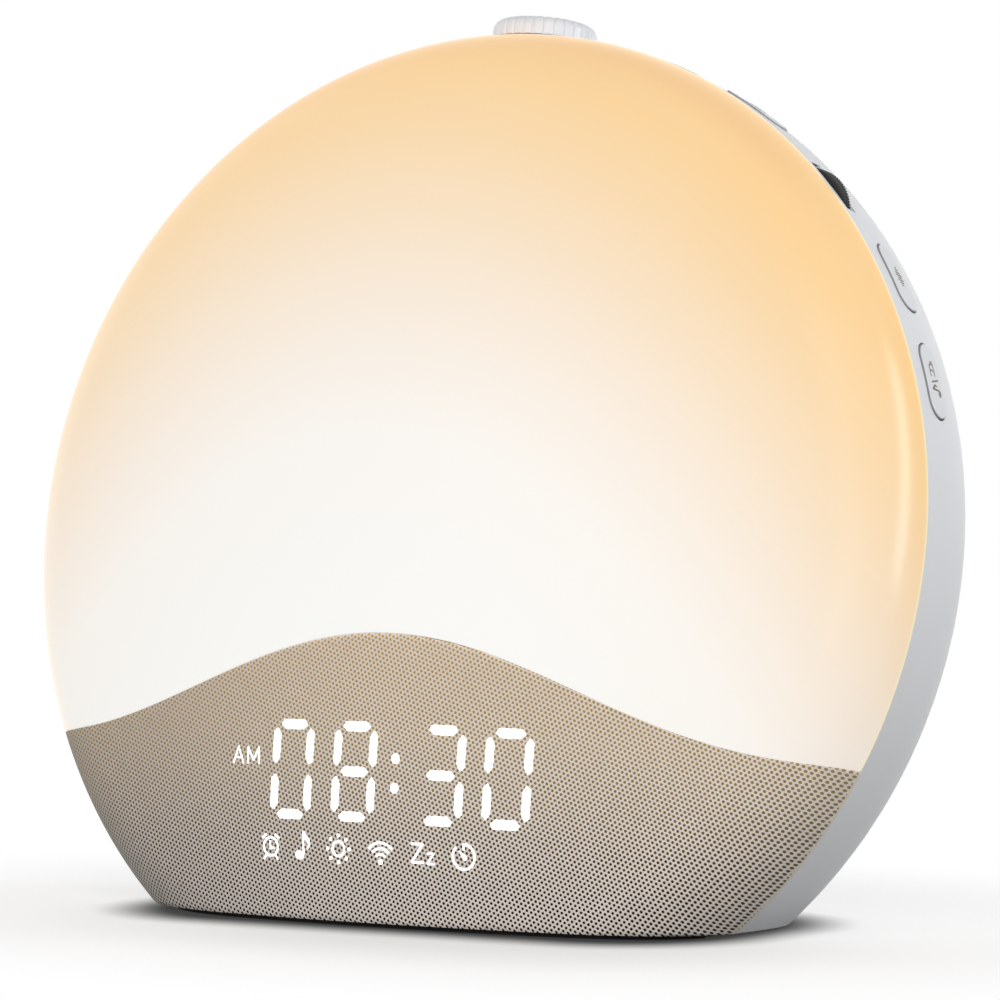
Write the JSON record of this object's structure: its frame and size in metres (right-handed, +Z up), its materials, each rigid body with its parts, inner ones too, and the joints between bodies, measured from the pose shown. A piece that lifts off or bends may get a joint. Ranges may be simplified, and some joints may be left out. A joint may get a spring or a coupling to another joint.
{
  "type": "sunrise alarm clock",
  "caption": "Round sunrise alarm clock that leans back on a flat base, with an opal light dome, a cloth-covered digital display, rim buttons, a dimmer wheel and a push dial.",
  "frame": {"origin": "on the table surface, under the middle of the disc where the rubber base pad stands", "axes": "+X to the clock's left-to-right as seen from the front, +Y from the face to the rear, +Z up"},
  "size_m": [0.185, 0.0813, 0.1639],
  "materials": {
    "casing_white": "smooth satin moulded plastic",
    "diffuser_opal": "opal plastic, lit from behind",
    "cloth": "open knitted speaker cloth",
    "dial_white": "fluted satin plastic",
    "button_white": "satin plastic",
    "wheel_black": "knurled",
    "frame_white": "moulded",
    "frame_dark": "moulded, dark so that the display reads through the cloth",
    "board_green": "solder mask",
    "board_white": "white solder mask",
    "flex_amber": "flexible circuit film",
    "chip_black": "moulded package",
    "lamp_warm": "phosphor",
    "lamp_white": "phosphor",
    "display_black": "moulded",
    "display_lit": "clear light guide, lit",
    "steel": "bright plated",
    "shaft_metal": "turned",
    "can_metal": "drawn can",
    "magnet_dark": "painted magnet and yoke",
    "cone_black": "pressed paper",
    "surround_rubber": "soft",
    "foam_black": "closed-cell foam",
    "rubber_grey": "matt",
    "connector_white": "nylon",
    "tongue_black": "moulded"
  },
  "bodies": {
    "housing": {"base_pad": "rubber_grey", "board_capacitors": "can_metal", "board_chips": "chip_black", "board_connectors": "connector_white", "button_switches": "chip_black", "chassis": "frame_white", "coin_cell": "steel", "coin_cell_holder": "tongue_black", "diffuser_dome": "diffuser_opal", "dimmer_board": "board_green", "dimmer_pot": "chip_black", "display_block": "display_black", "display_board": "board_green", "display_board_screws": "steel", "display_icons": "display_lit", "display_ribbon": "flex_amber", "display_segments": "display_lit", "encoder_board": "board_green", "encoder_body": "steel", "fabric_cover": "cloth", "front_pad": "rubber_grey", "grille_frame": "frame_dark", "left_button_strip": "flex_amber", "light_board": "board_white", "light_reflector": "frame_white", "main_board": "board_green", "main_board_screws": "steel", "port_board": "board_green", "port_tongues": "tongue_black", "rear_shell": "casing_white", "right_button_strip": "flex_amber", "shell_screws": "steel", "speaker_basket": "steel", "speaker_gasket": "foam_black", "speaker_magnet": "magnet_dark", "speaker_screws": "steel", "usb_a_port": "steel", "usb_c_inlet": "steel", "warm_leds": "lamp_warm", "white_leds": "lamp_white"},
    "music_key": {"music_button": "button_white", "music_plunger": "tongue_black"},
    "noise_key": {"noise_button": "button_white", "noise_plunger": "tongue_black"},
    "light_key": {"light_button": "button_white", "light_plunger": "tongue_black"},
    "alarm_key": {"alarm_button": "button_white", "alarm_plunger": "tongue_black"},
    "timer_key": {"timer_button": "button_white", "timer_plunger": "tongue_black"},
    "set_key": {"set_button": "button_white", "set_plunger": "tongue_black"},
    "dimmer": {"dimmer_wheel": "wheel_black", "dimmer_shaft": "shaft_metal"},
    "dial_push": {"encoder_plunger": "tongue_black"},
    "dial": {"dial_knob": "dial_white", "encoder_shaft": "shaft_metal"},
    "speaker_diaphragm": {"speaker_cone": "cone_black", "speaker_surround": "surround_rubber", "speaker_dust_cap": "cone_black"}
  },
  "joints": [
    {"name": "music_press", "type": "slide", "parent": "housing", "child": "music_key", "axis": [-0.9449, -0.0568, -0.3222], "range_m": [0, 0.0004], "stiffness_N_per_m": 400, "springref_m": -0.0005},
    {"name": "noise_press", "type": "slide", "parent": "housing", "child": "noise_key", "axis": [-0.849, -0.0918, -0.5204], "range_m": [0, 0.0004], "stiffness_N_per_m": 400, "springref_m": -0.0005},
    {"name": "light_press", "type": "slide", "parent": "housing", "child": "light_key", "axis": [-0.506, -0.1498, -0.8494], "range_m": [0, 0.0004], "stiffness_N_per_m": 400, "springref_m": -0.0005},
    {"name": "alarm_press", "type": "slide", "parent": "housing", "child": "alarm_key", "axis": [-0.2924, -0.1661, -0.9418], "range_m": [0, 0.0004], "stiffness_N_per_m": 400, "springref_m": -0.0005},
    {"name": "timer_press", "type": "slide", "parent": "housing", "child": "timer_key", "axis": [0.849, -0.0918, -0.5204], "range_m": [0, 0.0004], "stiffness_N_per_m": 400, "springref_m": -0.0005},
    {"name": "set_press", "type": "slide", "parent": "housing", "child": "set_key", "axis": [0.9449, -0.0568, -0.3222], "range_m": [0, 0.0004], "stiffness_N_per_m": 400, "springref_m": -0.0005},
    {"name": "dimmer_turn", "type": "hinge", "parent": "housing", "child": "dimmer", "pos_m": [0.06154, 0.01331, 0.12721], "axis": [0, -0.9848, 0.1736], "range_deg": [-140, 140]},
    {"name": "dial_press", "type": "slide", "parent": "housing", "child": "dial_push", "axis": [0, -0.1736, -0.9848], "range_m": [0, 0.0005], "stiffness_N_per_m": 800, "springref_m": -0.0006},
    {"name": "dial_turn", "type": "hinge", "parent": "dial_push", "child": "dial", "pos_m": [-0.00115, 0.02542, 0.15905], "axis": [0, 0.1736, 0.9848], "continuous": true},
    {"name": "cone_stroke", "type": "slide", "parent": "housing", "child": "speaker_diaphragm", "axis": [0, 0.9848, -0.1736], "range_m": [-0.0008, 0.0008], "stiffness_N_per_m": 1500}
  ]
}
